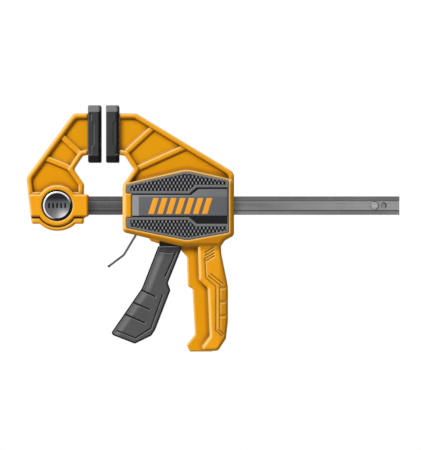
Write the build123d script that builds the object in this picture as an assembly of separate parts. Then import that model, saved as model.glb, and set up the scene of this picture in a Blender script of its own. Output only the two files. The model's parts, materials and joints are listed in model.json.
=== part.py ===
from build123d import *

import math
import os

# Quick release bar clamp. Lengths are millimetres.
#
# Frame: the origin is the centre of the fixed pad's clamping face. +X runs along the bar towards
# the moving jaw, +Z runs from the bar up to the pads, and Y runs across the clamp (front is -Y).

# ------------------------------------------------------------------ pads
pad_thickness = 12.9
pad_overhang = 8.0  # pad beyond its jaw's seat, above and below
pad_width = 34.0
pad_taper_height = 6.5  # sloped bands at the pad's top and bottom
pad_taper = 1.8  # their slope towards the middle plane
pad_edge = 1.4  # rounding of the back and of the side faces' edges
pad_face_edge = 1.0
pad_relief = 0.8
pad_opening = 5.1  # gap between the two pads as drawn
tongue_length = 5.0  # the jaw's tongue that plugs into the pad's back
tongue_height = 30.0
tongue_width = 12.0

# ------------------------------------------------------------------ bar
throat = 71.5  # pad centre to bar centreline
bar_height = 18.4
bar_width = 8.0  # across the flanges
bar_web = 4.4
bar_flange = 4.2
bar_length = 357.8
lock_hole_radius = 2.7
lock_hole_inset = 16.0  # from each bar end
lock_hole_floor = 1.2  # left of the web behind the blind hole at the free end
stop_inset = 25.0  # stop rivet from the free end
stop_head_radius = 3.8
stop_shank_radius = 2.4
stop_head_proud = 1.6  # beyond the bar's flanges

# ------------------------------------------------------------------ jaws
jaw_width = 26.0
seat_half = 20.5  # half height of each jaw's pad seat
rim = 5.0  # border round the jaw's side pockets
pocket_depth = 5.0
rib_width = 6.0
rib_drop = 2.1  # ribs lie this far below the border
edge_round = 1.8  # rounding of the jaws' side edges, outside and round the pockets
rib_round = 1.6
notch_depth = 14.7  # throat notch behind the pad seats
jaw_top_run = 14.5  # flat top behind each seat
jaw_depth = 61.6  # fixed jaw, seat to heel
heel_rise = 28.0  # heel's widest point above the bar centreline
heel_taper = 5.6  # heel's lean, from that point to the foot
foot_drop = 18.2  # underside of the fixed jaw below the bar centreline
socket_width = 36.0  # bar socket and button boss, flush with each other
boss_setback = 30.6  # button axis behind the pad seat
boss_radius = 20.5
boss_bore_radius = 15.6
socket_round = 1.6
flange_radius = 25.2  # lip under the boss
flange_width = 31.0
flange_drop = 12.6  # lip's upper edge below the bar centreline
flange_groove = 0.8  # between the boss and the lip
flange_round = 1.4

# ------------------------------------------------------------------ button lock
button_radius = 14.3
button_thickness = 4.0
button_proud = 0.6
button_travel = 5.0
button_dish = 1.6
yoke_arm = 3.0
yoke_width = 10.0
yoke_bridge = 2.5
rear_cap_thickness = 2.2
spring_solid = 1.9  # room left for the squeezed button spring
button_wire = 0.4  # wire radius
button_coil_radius = 8.0
button_turns = 2

# ------------------------------------------------------------------ head housing
box_setback = 3.6  # box front behind the moving jaw's seat
box_length = 111.2
box_width = 32.0
front_wall = 8.7
back_wall = 5.0
cavity_width = 24.4
cavity_drop = 24.0  # cavity floor below the bar centreline
shoulder_rise = 34.3  # covers' peak above the bar centreline
shoulder_setback = 64.2  # that peak behind the box's front face
front_rise = 21.3  # box's top above the bar centreline at its front face
back_rise = 25.6  # the same at its back face
box_roof = 2.8
box_border = 2.0  # above the covers
box_slope = 3.4  # sloped band round the box's sides
box_slope_depth = 2.0
slope_drop = 58.8  # fall of the moving jaw's back, from its top to the box's back face
handle_length = 105.5  # below the underside of the box
grip_width = 28.0
web_width = 8.0
web_round = 1.2
grip_round = 3.5
groove_depth = 0.7  # relief lines on the grip and trigger

# ------------------------------------------------------------------ covers
cover_recess = 1.6
cover_thickness = 2.6
cover_gap = 0.4  # all round, in the housing's recess
cover_round = 0.6
channel_depth = 1.4  # centre channel in the cover
grille_depth = 1.2  # sunk panels above and below the channel
grille_border = 2.4
grille_lead = 4.2  # plain border at the panels' front end
badge_thickness = 1.0

# ------------------------------------------------------------------ trigger
pivot_rise = 22.3  # trigger pivot above the bar centreline
pivot_setback = 49.0  # behind the box's front face
pivot_radius = 3.0
eye_radius = 7.0
trigger_wall = 3.6
trigger_width = 21.0  # below the box
trigger_slot = 13.6  # between the cheeks below the box
trigger_round = 2.2
trigger_skin = 3.4

# ------------------------------------------------------------------ drive and brake
plate_thickness = 3.0
plate_count = 2
plate_width = 19.0
plate_over = 5.2  # plate beyond the bar, above and below
drive_wire = 0.7
drive_coil_radius = 11.0
drive_turns = 7
brake_thickness = 2.0
brake_width = 17.0
brake_lean = 5.7  # degrees, locked
brake_setback = 18.0  # fulcrum behind the box's front face
brake_head = 2.0  # lever above its fulcrum
brake_drop = 48.0  # fulcrum down to the bend under the box
brake_tail = 23.6
brake_tail_lean = 31.0
brake_tip = 18.5
brake_tip_lean = 53.0
brake_bend = 9.0  # radius of its bends
brake_roll = 1.3  # radius of its rolled tip
brake_swing = 7.0
brake_wire = 0.5
brake_coil_radius = 3.4
brake_turns = 6
divider_thickness = 3.0

# ------------------------------------------------------------------ clearances
slide_gap = 0.25  # housing and plates on the bar
socket_gap = 0.15  # bar in the fixed jaw
pin_gap = 0.05
side_gap = 1.0  # trigger cheeks beside the bar
seat_gap = 0.15  # between pieces that seat on each other
swing_gap = 0.35  # between pieces that pass each other

# ------------------------------------------------------------------ derived places
pad_height = 2 * (seat_half + pad_overhang)
bar_z = -throat
bar_top = bar_z + bar_height / 2
bar_low = bar_z - bar_height / 2
seat_x = -pad_thickness
boss_x = seat_x - boss_setback
bar_left = boss_x - lock_hole_inset
bar_right = bar_left + bar_length
stop_x = bar_right - stop_inset

head_seat_x = pad_opening + pad_thickness
front_x = head_seat_x + box_setback
back_x = front_x + box_length
cavity_back = back_x - back_wall
cavity_low = bar_z - cavity_drop
underside = bar_z - 40.5
handle_low = underside - handle_length

pivot_x = front_x + pivot_setback
pivot_z = bar_z + pivot_rise
cheek_in = bar_width / 2 + side_gap
cheek_out = cheek_in + trigger_wall
plate_x = pivot_x + eye_radius + 2.0 + swing_gap

brake_x = front_x + brake_setback
brake_z = bar_z + 18.6
divider_x = pivot_x - eye_radius - 8.5

recess_y = box_width / 2 - cover_recess
socket_y = socket_width / 2
button_face = -(socket_y + button_proud)
button_back = button_face + button_thickness
bridge_y = bar_width / 2 + 2.4
bridge_back = bridge_y + yoke_bridge
cap_inside = bridge_back + button_travel + spring_solid
cap_face = cap_inside + rear_cap_thickness


# ------------------------------------------------------------------ helpers
def outline(corners):
    """A closed face in the XZ plane. Each corner is (x, z, radius of its rounding)."""
    starts, middles, ends = [], [], []
    for i, (x, z, radius) in enumerate(corners):
        corner = Vector(x, z)
        back = (Vector(*corners[i - 1][:2]) - corner).normalized()
        ahead = (Vector(*corners[(i + 1) % len(corners)][:2]) - corner).normalized()
        half_angle = math.radians(back.get_angle(ahead)) / 2
        reach = radius / math.tan(half_angle)
        starts.append(corner + back * reach)
        ends.append(corner + ahead * reach)
        if radius:
            bisector = (back + ahead).normalized()
            middles.append(corner + bisector * (radius / math.sin(half_angle) - radius))
        else:
            middles.append(None)
    edges = []
    for i, middle in enumerate(middles):
        edges.append(Edge.make_line(ends[i - 1], starts[i]))
        if middle:
            edges.append(Edge.make_three_point_arc(starts[i], middle, ends[i]))
    return Plane.XZ * Face(Wire(edges))


def inset(corners, margins):
    """The corners moved inwards, each edge by its own margin. Edge i runs from corner i to the next."""
    lines = []
    for i, (x, z, _) in enumerate(corners):
        following = corners[(i + 1) % len(corners)]
        along = Vector(following[0] - x, following[1] - z).normalized()
        inwards = Vector(along.Y, -along.X)
        lines.append((Vector(x, z) + inwards * margins[i], along))
    moved = []
    for i, (_, _, radius) in enumerate(corners):
        (start, along), (other, across) = lines[i - 1], lines[i]
        gap = other - start
        distance = gap.cross(across).Z / along.cross(across).Z
        place = start + along * distance
        moved.append((place.X, place.Y, radius))
    return moved


def slab(face, y_low, y_high):
    """A face of the XZ plane made solid between two depths."""
    return extrude(Pos(0, y_low, 0) * face, amount=y_high - y_low, dir=(0, 1, 0))


def both_sides(face, y_in, y_out):
    """The same slab on the front and on the rear."""
    return slab(face, -y_out, -y_in) + slab(face, y_in, y_out)


def flat_edges(body, half_width, shortest=0.0):
    """Edges that lie in the two planes at half_width from the clamp's middle plane."""
    def lies_flat(edge):
        in_plane = abs(abs(edge.center().Y) - half_width) < 0.01
        return in_plane and edge.bounding_box().size.Y < 0.01 and edge.length > shortest
    return body.edges().filter_by(lies_flat)


def rounded_slab(face, half_width, radius):
    """A slab centred on the clamp's middle plane, with both side outlines rounded."""
    body = slab(face, -half_width, half_width)
    return fillet(flat_edges(body, half_width), radius)


def block(x_low, x_high, y_low, y_high, z_low, z_high):
    """A box between six planes."""
    centre = Pos((x_low + x_high) / 2, (y_low + y_high) / 2, (z_low + z_high) / 2)
    return centre * Box(x_high - x_low, y_high - y_low, z_high - z_low)


def rod(x, z, radius, y_low, y_high):
    """A round bar across the clamp."""
    centre = Pos(x, (y_low + y_high) / 2, z)
    return centre * Rot(90, 0, 0) * Cylinder(radius, y_high - y_low)


def coil(base, direction, length, radius, wire, turns):
    """A round-wire compression spring that starts at base and runs along direction."""
    height = length - 2 * wire
    path = Helix(pitch=height / turns, height=height, radius=radius)
    section = Plane(path @ 0, z_dir=path % 0) * Circle(wire)
    spring = sweep(section, path, is_frenet=True)
    return Plane(base, z_dir=direction) * Pos(0, 0, wire) * spring


def ribbon(points, thickness, bend=0.0):
    """The outline of a strip that follows points along its middle. bend rounds its turns."""
    half = thickness / 2
    left, right = [], []
    for i, (x, z) in enumerate(points):
        place = Vector(x, z)
        before = (place - Vector(*points[i - 1])).normalized() if i else None
        after = (Vector(*points[i + 1]) - place).normalized() if i + 1 < len(points) else None
        along = ((before or after) + (after or before)).normalized()
        across = Vector(-along.Y, along.X)
        mitre = across.dot(Vector(-(after or before).Y, (after or before).X))
        turn = math.copysign(half, before.cross(after).Z) if bend and before and after else 0.0
        corner_bend = bend if turn else 0.0
        reach = across * (half / mitre)
        left.append((*tuple(place + reach)[:2], corner_bend - turn))
        right.append((*tuple(place - reach)[:2], corner_bend + turn))
    return outline(left + right[::-1])


def strut(start, end, width):
    """A straight bar between two points of the XZ plane, with its ends run on by its width."""
    a, b = Vector(*start), Vector(*end)
    along = (b - a).normalized() * width
    return ribbon([tuple(a - along)[:2], tuple(b + along)[:2]], width)


# ------------------------------------------------------------------ jaw outlines
def notch(seat, side):
    """Corners of the throat notch under a pad seat, from the seat down. side is +1 or -1."""
    return [
        (seat + side * 5.6, -seat_half - 1.0, 4),
        (seat + side * notch_depth, bar_z + 36.2, 3),
        (seat + side * 4.4, bar_z + front_rise, 2.5),
    ]


def heel_line_x(z):
    """Where the heel's slanted back lies at height z."""
    return heel_x + heel_taper * (bar_z + heel_rise - z) / (heel_rise + foot_drop)


heel_x = seat_x - jaw_depth
heel_low = (heel_x + heel_taper, bar_z - foot_drop, 2)
heel_high = (heel_x, bar_z + heel_rise, 8)
jaw_step = seat_x - 4.8  # the fixed jaw's right side under its notch
socket_top = bar_top + 2.0

fixed_top = [
    heel_high,
    (seat_x - jaw_top_run, seat_half, 5),
    (seat_x, seat_half, 0),
    (seat_x, -seat_half, 0),
    *notch(seat_x, -1),
]
fixed_corners = fixed_top + [
    (jaw_step, socket_top, 0),
    (seat_x, socket_top, 1.6),
    (seat_x, bar_low - 1.0, 1.6),
    (jaw_step, bar_low - 3.6, 0),
    (jaw_step, bar_z - foot_drop, 1.6),
    heel_low,
]
fixed_pocket_low = bar_z + 13.6
fixed_pocket_corners = fixed_top + [
    (jaw_step, fixed_pocket_low, 0),
    (heel_line_x(fixed_pocket_low), fixed_pocket_low, 0),
]
socket_low = bar_low - 1.8
socket_corners = [
    (heel_line_x(socket_top), socket_top, 0),
    *fixed_corners[-5:-3],
    (seat_x - 1.2, socket_low, 0),
    (heel_line_x(socket_low), socket_low, 0),
]
lip_top = bar_z - flange_drop
foot_corners = [
    (heel_line_x(lip_top), lip_top, 0),
    (jaw_step, lip_top, 0),
    (jaw_step, bar_z - foot_drop, 1.6),
    heel_low,
]
fixed_ribs = [
    ((seat_x - 24.3, -4.2), (seat_x - 9.8, -17.7)),
    ((seat_x - 39.3, -25.4), (seat_x - 20.8, -33.0)),
]

peak_x = front_x + shoulder_setback
box_top = [
    (front_x, bar_z + front_rise, 4.5),
    (peak_x, bar_z + shoulder_rise + box_border, 30),
    (back_x, bar_z + back_rise, 5),
]
moving_top = [
    (head_seat_x, -seat_half, 0),
    (head_seat_x, seat_half, 0),
    (head_seat_x + 17.2, seat_half, 4),
    (back_x, seat_half - slope_drop, 8),
    (back_x, bar_z + 10.0, 0),
    (front_x, bar_z + 10.0, 0),
]
moving_corners = moving_top + notch(head_seat_x, 1)[::-1]
moving_ribs = [
    ((head_seat_x + 9.3, -16.4), (head_seat_x + 30.8, 3.6)),
    ((head_seat_x + 21.0, -33.4), (head_seat_x + 62.3, -14.7)),
]


def ribbed_jaw(corners, pocket_corners, margins, ribs):
    """A jaw with pockets in both sides: shallow over the ribs, deep between them, all edges rounded."""
    half = jaw_width / 2
    pocket = outline(inset(pocket_corners, margins))
    deep = pocket
    for start, end in ribs:
        deep -= strut(start, end, rib_width)
    jaw = slab(outline(corners), -half, half)
    jaw -= both_sides(pocket, half - rib_drop, half + 1)
    jaw -= both_sides(deep, half - pocket_depth, half + 1)
    jaw = fillet(flat_edges(jaw, half), edge_round)
    return fillet(flat_edges(jaw, half - rib_drop, rim + 3.0), rib_round)


def pad_seat_tongue(seat, side):
    """The tongue on a jaw's seat that plugs into the pad. side points from the jaw to the pad."""
    x_low, x_high = sorted((seat - side * 2.0, seat + side * tongue_length))
    return block(x_low, x_high, -tongue_width / 2, tongue_width / 2, -tongue_height / 2, tongue_height / 2)


# ------------------------------------------------------------------ pieces of the fixed end
pad_relief_corners = [
    (-1.0, 20.4),
    (3.6, 20.4),
    (3.6, 12.4),
    (6.2, 9.8),
    (6.2, -10.6),
    (3.6, -13.2),
    (3.6, -20.4),
    (-1.0, -20.4),
]


def make_pad(back_x, side):
    """A clamping pad between its back at back_x and its face. side points from back to face."""
    y, z, drop = pad_width / 2, pad_height / 2, pad_taper_height
    quarter = [(y, z - drop), (y - pad_taper, z)]
    section = quarter + [(-a, b) for a, b in quarter[::-1]]
    section += [(-a, -b) for a, b in section]
    profile = Plane.YZ * Face(Wire.make_polygon([Vector(a, b) for a, b in section], close=True))
    pad = extrude(Pos(back_x, 0, 0) * profile, amount=pad_thickness, dir=(side, 0, 0))
    ends = pad.faces().sort_by(Axis.X)[::side]
    pad = fillet(ends[0].edges(), pad_edge)
    pad = fillet(pad.faces().sort_by(Axis.X)[::side][-1].edges(), pad_face_edge)
    fit = seat_gap
    pocket_low, pocket_high = sorted((back_x - side, back_x + side * (tongue_length + fit)))
    relief = outline([(back_x + side * x, z, 0) for x, z in pad_relief_corners])
    pad -= both_sides(relief, pad_width / 2 - pad_relief, pad_width)
    pocket = block(pocket_low, pocket_high, -tongue_width / 2 - fit, tongue_width / 2 + fit,
                   -tongue_height / 2 - fit, tongue_height / 2 + fit)
    return pad - pocket


def make_bar():
    """I-section bar with a lock hole near each end, the free end's blind, and the stop rivet's hole."""
    half = bar_height / 2
    bar = block(bar_left, bar_right, -bar_width / 2, bar_width / 2, bar_low, bar_top)
    bar = chamfer(bar.edges().filter_by(Axis.X), 0.5)
    for side in (-1, 1):
        y_low, y_high = sorted((side * bar_web / 2, side * bar_width))
        bar -= block(bar_left - 1, bar_right + 1, y_low, y_high, bar_z - half + bar_flange,
                     bar_z + half - bar_flange)
    bar -= rod(bar_left + lock_hole_inset, bar_z, lock_hole_radius, -bar_width, bar_width)
    blind_end = bar_web / 2 - lock_hole_floor
    bar -= rod(bar_right - lock_hole_inset, bar_z, lock_hole_radius, -bar_width, blind_end)
    return bar - rod(stop_x, bar_z, stop_shank_radius, -bar_width, bar_width)


def make_bar_stop():
    """Rivet through the bar's web whose heads stand proud of the flanges and stop the head."""
    head_y = bar_width / 2 + stop_head_proud
    rivet = rod(stop_x, bar_z, stop_shank_radius, -head_y + 1, head_y - 1)
    for side in (-1, 1):
        y_low, y_high = sorted((side * bar_web / 2, side * head_y))
        head = rod(stop_x, bar_z, stop_head_radius, y_low, y_high)
        outer = head.faces().sort_by(Axis.Y)[0 if side < 0 else -1]
        rivet += chamfer(outer.edges(), 0.8)
    return rivet


def make_fixed_jaw():
    """Moulded jaw with ribbed side pockets, a bar socket and the round boss of the button lock."""
    half = jaw_width / 2
    margins = [rim, rim, 0, rim, rim, rim, rim, 0, rim]
    jaw = ribbed_jaw(fixed_corners, fixed_pocket_corners, margins, fixed_ribs)
    socket = slab(outline(socket_corners), -socket_y, socket_y)
    socket += rod(boss_x, bar_z, boss_radius, -socket_y, socket_y)
    jaw += fillet(flat_edges(socket, socket_y), socket_round)
    lip_y = flange_width / 2
    below_socket = block(boss_x - flange_radius, boss_x + flange_radius, -lip_y, lip_y,
                         bar_z - flange_radius, lip_top)
    lip = rod(boss_x, bar_z, flange_radius, -lip_y, lip_y) & below_socket
    lip += slab(outline(foot_corners), -lip_y, lip_y)
    lip -= rod(boss_x, bar_z, boss_radius + flange_groove, -lip_y, lip_y)
    jaw += fillet(flat_edges(lip, lip_y), flange_round)
    jaw += rod(boss_x, bar_z, flange_radius, -half, half) & below_socket
    jaw += pad_seat_tongue(seat_x, 1)
    tunnel_y = bar_width / 2 + socket_gap
    jaw -= block(bar_left - socket_gap, seat_x + 1, -tunnel_y, tunnel_y, bar_low - socket_gap,
                 bar_top + socket_gap)
    jaw -= rod(boss_x, bar_z, boss_bore_radius, button_face - 1, button_back + button_travel + 1.0)
    jaw -= rod(boss_x, bar_z, boss_bore_radius, bridge_y - 1.5, cap_face + 1)
    arm_half = yoke_width / 2 + swing_gap
    reach = bar_height / 2 + 1.0 + yoke_arm + swing_gap
    return jaw - block(boss_x - arm_half, boss_x + arm_half, button_face, bridge_back,
                       bar_z - reach, bar_z + reach)


def make_push_button():
    """Round button with a dished face."""
    button = rod(boss_x, bar_z, button_radius, button_face, button_back)
    button = fillet(button.faces().sort_by(Axis.Y)[0].edges(), 0.8)
    dish_edge = button_radius - 1.6
    sphere_radius = (dish_edge ** 2 + button_dish ** 2) / (2 * button_dish)
    return button - Pos(boss_x, button_face - sphere_radius + button_dish, bar_z) * Sphere(sphere_radius)


def make_button_yoke():
    """Two arms that pass over and under the bar and a bridge behind it that carries the lock pin."""
    inner = bar_height / 2 + 1.0
    outer = inner + yoke_arm
    half = yoke_width / 2
    yoke = block(boss_x - half, boss_x + half, button_back, bridge_back, bar_z - outer, bar_z + outer)
    yoke -= block(boss_x - half - 1, boss_x + half + 1, button_back - 1, bridge_y,
                  bar_z - inner, bar_z + inner)
    return yoke - rod(boss_x, bar_z, lock_hole_radius - pin_gap, bridge_y - 1, bridge_back + 1)


def make_lock_pin():
    """Steel pin that locks the jaw to the bar's web, held in the yoke's bridge."""
    tip_y = lock_hole_floor + 0.2 - bar_web / 2
    pin = rod(boss_x, bar_z, lock_hole_radius - pin_gap, tip_y, bridge_back)
    return chamfer(pin.faces().sort_by(Axis.Y)[0].edges(), 0.5)


def make_jaw_rear_cap():
    """Snap-in cap that closes the lock's bore behind and seats its spring."""
    cap = rod(boss_x, bar_z, boss_bore_radius - seat_gap, cap_inside, cap_face)
    cap = chamfer(cap.faces().sort_by(Axis.Y)[-1].edges(), 0.8)
    groove = rod(boss_x, bar_z, 10.0, cap_face - 0.7, cap_face + 1)
    groove -= rod(boss_x, bar_z, 8.6, cap_inside, cap_face + 1)
    return cap - groove


def make_button_spring():
    """Returns the button and seats the lock pin."""
    start = bridge_back + 0.1
    length = cap_inside - 0.1 - start
    return coil((boss_x, start, bar_z), (0, 1, 0), length, button_coil_radius, button_wire, button_turns)


# ------------------------------------------------------------------ sliding head
floor_back = pivot_x + 9.5
trigger_front = pivot_x - 13.6
opening_back = trigger_front + 41.6
box_floor = (front_x, bar_z - 26.4, 5)


def floor_line_z(x):
    """Height of the box's sloping floor at x."""
    low_x, low_z, _ = box_floor
    return low_z + (underside - low_z) * (x - low_x) / (floor_back - low_x)


box_skirt = [
    (back_x, bar_z - 30.0, 4.5),
    (back_x - 9.0, bar_z - 34.8, 4),
    (back_x - 13.0, underside, 0),
    (floor_back, underside, 0),
]
box_lip = [
    (trigger_front + 2.2, floor_line_z(trigger_front + 2.2), 0),
    (trigger_front + 0.5, underside + 2.6, 0),
    (trigger_front - 7.2, underside + 5.2, 1),
    (trigger_front - 9.1, floor_line_z(trigger_front - 9.1), 1),
]

grip_corners = [
    (back_x - 13.0, underside, 0),
    (back_x - 12.6, underside - 8.0, 30),
    (back_x - 6.0, underside - 40.0, 50),
    (back_x - 6.0, handle_low + 30.5, 60),
    (back_x - 8.0, handle_low + 13.0, 6),
    (back_x - 16.0, handle_low + 0.8, 5),
    (back_x - 32.0, handle_low + 0.8, 4),
    (back_x - 32.0, handle_low + 6.0, 2),
    (back_x - 24.5, handle_low + 16.0, 3),
    (back_x - 26.6, handle_low + 64.0, 4),
    (back_x - 35.2, handle_low + 71.5, 4),
    (back_x - 36.4, underside, 0),
]
web_corners = [
    (back_x - 20.0, underside + 0.5, 0),
    (back_x - 20.0, handle_low + 2.0, 0),
    (back_x - 22.0, handle_low, 0),
    (back_x - 44.2, handle_low, 1.5),
    (back_x - 47.4, handle_low + 6.5, 2),
    (back_x - 39.0, handle_low + 17.0, 4),
    (back_x - 41.5, handle_low + 62.8, 2),
    (back_x - 46.1, handle_low + 65.4, 2),
    (back_x - 47.0, underside - 10.5, 3),
    (back_x - 52.8, underside - 4.5, 0),
    (back_x - 52.8, underside + 0.5, 0),
]

grip_grooves = [
    ([(back_x - 29.0, underside - 6.5 - 3.0 * i), (back_x - 19.5, underside - 0.6 - 3.0 * i)], 1.1)
    for i in range(4)
] + [
    ([(back_x - 29.0, underside - 12.0), (back_x - 28.0, underside - 31.5),
      (back_x - 18.0, underside - 40.5), (back_x - 18.0, handle_low + 21.5),
      (back_x - 11.5, handle_low + 15.5)], 1.3),
    ([(back_x - 25.6, underside - 29.5), (back_x - 13.0, underside - 39.5)], 1.1),
    ([(back_x - 23.2, underside - 27.5), (back_x - 10.6, underside - 37.5)], 1.1),
    ([(back_x - 15.6, handle_low + 22.6), (back_x - 9.5, handle_low + 17.4)], 1.1),
    ([(back_x - 14.2, underside - 40.0), (back_x - 14.2, handle_low + 23.5)], 0.9),
] + [
    ([(back_x - 14.4, underside - 41.5 - 14.0 * i), (back_x - 2.0, underside - 41.5 - 14.0 * i)], 2.2)
    for i in range(3)
]


def make_grip():
    """Handle: a thin web towards the trigger and a thick rounded grip behind it."""
    body = slab(outline(grip_corners), -grip_width / 2, grip_width / 2)
    sides = body.faces().sort_by(Axis.Y)
    edges = (sides[0].edges() + sides[-1].edges()).filter_by(lambda e: e.center().Z < underside - 0.5)
    body = fillet(edges, grip_round)
    for path, width in grip_grooves:
        body -= both_sides(ribbon(path, width), grip_width / 2 - groove_depth, grip_width / 2 + 1)
    web = slab(outline(web_corners), -web_width / 2, web_width / 2)
    rims = flat_edges(web, web_width / 2).filter_by(lambda e: e.center().Z < underside - 0.2)
    return body + fillet(rims, web_round)


cover_left = front_x + 3.7
cover_right = back_x - back_wall


def cover_face(gap):
    """The cover's outline, with a tab of the housing between its two front lobes."""
    left, right, tab = cover_left, cover_right, front_x + 8.7
    return outline([
        (left + gap, bar_z + front_rise - 0.3 - gap, 1),
        (peak_x, bar_z + shoulder_rise - gap, 20),
        (right - gap, bar_z + back_rise - gap, 1.5),
        (right - gap, bar_z - 27.0 + gap, 1.5),
        (peak_x, bar_z - shoulder_rise - 0.4 + gap, 20),
        (left + gap, bar_z - 22.4 + gap, 2),
        (left + gap, bar_z - 11.9 - gap, 0.8),
        (tab + gap, bar_z - 11.9 - gap, 0.4),
        (tab + gap, bar_z + 12.0 + gap, 0.4),
        (left + gap, bar_z + 12.0 + gap, 0.8),
    ])


def peg_places():
    """Where each cover's snap pegs enter the housing's wall."""
    return [(front_x + 14.0, bar_z + 17.5), (back_x - 12.0, bar_z + 17.5), (back_x - 12.0, bar_z - 19.0)]


def make_housing():
    """Sliding head: moving jaw, mechanism box and handle in one moulding."""
    box_half = box_width / 2
    margins = [0, rim, rim, rim, 0, rim, rim, rim, rim]
    arm = ribbed_jaw(moving_corners, moving_corners, margins, moving_ribs)
    core_half = box_half - box_slope_depth
    box = slab(outline(box_top + box_skirt + box_lip + [box_floor]), -core_half, core_half)
    skin = outline(box_top + box_skirt + [box_floor])
    for side in (-1, 1):
        box += extrude(Pos(0, side * core_half, 0) * skin, amount=box_slope_depth, dir=(0, side, 0),
                       taper=math.degrees(math.atan2(box_slope, box_slope_depth)))
    box -= both_sides(cover_face(0), recess_y, box_half + 1)
    head = arm + box + make_grip() + pad_seat_tongue(head_seat_x, -1)

    hollow = inset(box_top + [(back_x, cavity_low, 0), (front_x, cavity_low, 0)],
                   [box_roof, box_roof, back_wall, 0, front_wall])
    cavity = slab(outline(hollow), -cavity_width / 2, cavity_width / 2)
    divider = block(divider_x, divider_x + divider_thickness, -cavity_width / 2, cavity_width / 2,
                    cavity_low, bar_low - slide_gap - 0.4)
    fulcrum_gap = brake_thickness / 2 + swing_gap
    fulcrum = block(brake_x - 4, brake_x + 4, -brake_width / 2, brake_width / 2,
                    brake_z - 1, bar_z + shoulder_rise)
    fulcrum -= block(brake_x - fulcrum_gap, brake_x + fulcrum_gap, -brake_width, brake_width,
                     brake_z - 2, brake_z + 2 + swing_gap)
    bosses = both_sides(Plane.XZ * Pos(pivot_x, pivot_z) * Circle(pivot_radius + 3.4),
                        cheek_out + swing_gap, cavity_width / 2 + 1)
    head -= cavity - divider - fulcrum - bosses

    slot_drop = brake_z - bar_z + 29.7
    slot_spread = brake_thickness + swing_gap
    slot_front = brake_x - slot_drop * math.tan(math.radians(brake_lean)) - slot_spread
    slot_back = brake_x + slot_drop * math.tan(math.radians(brake_swing - brake_lean)) + slot_spread
    head -= block(slot_front, slot_back, -brake_width / 2 - swing_gap, brake_width / 2 + swing_gap,
                  underside, cavity_low + 1)
    opening_half = trigger_width / 2 + swing_gap
    opening = block(trigger_front - 0.6, opening_back, -opening_half, opening_half,
                    underside - 0.01, cavity_low + 1)
    head -= opening - slab(outline(web_corners), -web_width / 2, web_width / 2)
    tunnel_y = bar_width / 2 + slide_gap
    head -= block(front_x - 1, back_x + 1, -tunnel_y, tunnel_y, bar_low - slide_gap, bar_top + slide_gap)
    head -= rod(pivot_x, pivot_z, pivot_radius, -box_half, box_half)
    for x, z in peg_places():
        head -= rod(x, z, 1.5 + seat_gap, -box_half, -cavity_width / 2 + 1)
        head -= rod(x, z, 1.5 + seat_gap, cavity_width / 2 - 1, box_half)
    return head


channel_top = [
    (front_x + 8.7, bar_z + 12.0, 0),
    (front_x + 66.4, bar_z + 12.0, 1),
    (front_x + 74.0, bar_z + 18.2, 1),
    (back_x - 6.2, bar_z + 18.2, 0.5),
]
channel_low = [
    (back_x - 6.2, bar_z - 18.4, 0.5),
    (front_x + 74.0, bar_z - 18.4, 1),
    (front_x + 66.4, bar_z - 11.9, 1),
    (front_x + 8.7, bar_z - 11.9, 0),
]
badge_corners = [
    (front_x + 9.7, bar_z + 10.4, 0.8),
    (front_x + 68.6, bar_z + 10.4, 1),
    (front_x + 76.0, bar_z + 16.3, 1),
    (back_x - 6.9, bar_z + 16.3, 1),
    (back_x - 6.9, bar_z - 10.1, 1),
    (front_x + 9.7, bar_z - 10.1, 0.8),
]


def grille_panels():
    """Corners of the two sunk panels, between the cover's edge and its centre channel."""
    upper = [
        (cover_left, bar_z + front_rise - 0.3, 0.8),
        (peak_x, bar_z + shoulder_rise, 16),
        (cover_right, bar_z + back_rise, 0.8),
        (cover_right, bar_z + 18.2, 0.8),
        *channel_top[2:0:-1],
        (cover_left, bar_z + 12.0, 0.8),
    ]
    lower = [
        (cover_left, bar_z - 11.9, 0.8),
        *channel_low[-2:0:-1],
        (cover_right, bar_z - 18.4, 0.8),
        (cover_right, bar_z - 27.0, 0.8),
        (peak_x, bar_z - shoulder_rise - 0.4, 16),
        (cover_left, bar_z - 22.4, 0.8),
    ]
    return [inset(corners, [grille_border] * 6 + [grille_lead]) for corners in (upper, lower)]


def make_cover(side):
    """Snap-on side cover. side is -1 for the front and +1 for the rear."""
    y_in, y_out = side * recess_y, side * (recess_y + cover_thickness)
    cover = slab(cover_face(cover_gap), min(y_in, y_out), max(y_in, y_out))
    outer = cover.faces().sort_by(Axis.Y)[0 if side < 0 else -1]
    cover = fillet(outer.edges(), cover_round)
    cuts = [(channel_top + channel_low, channel_depth)]
    cuts += [(corners, grille_depth) for corners in grille_panels()]
    for corners, depth in cuts:
        floor_y = y_out - side * depth
        cover -= slab(outline(corners), min(floor_y, 2 * y_out), max(floor_y, 2 * y_out))
    inner_end = side * (cavity_width / 2)
    for x, z in peg_places():
        cover += rod(x, z, 1.5, min(inner_end, y_in), max(inner_end, y_in))
    return cover


def make_badge_plate(side):
    """Blank plate that fills the cover's channel."""
    y_in = side * (recess_y + cover_thickness - channel_depth)
    y_out = y_in + side * badge_thickness
    return slab(outline(badge_corners), min(y_in, y_out), max(y_in, y_out))


def make_pivot_pin():
    """Steel pin across the head that the trigger swings on."""
    return rod(pivot_x, pivot_z, pivot_radius, -recess_y, recess_y)


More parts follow.
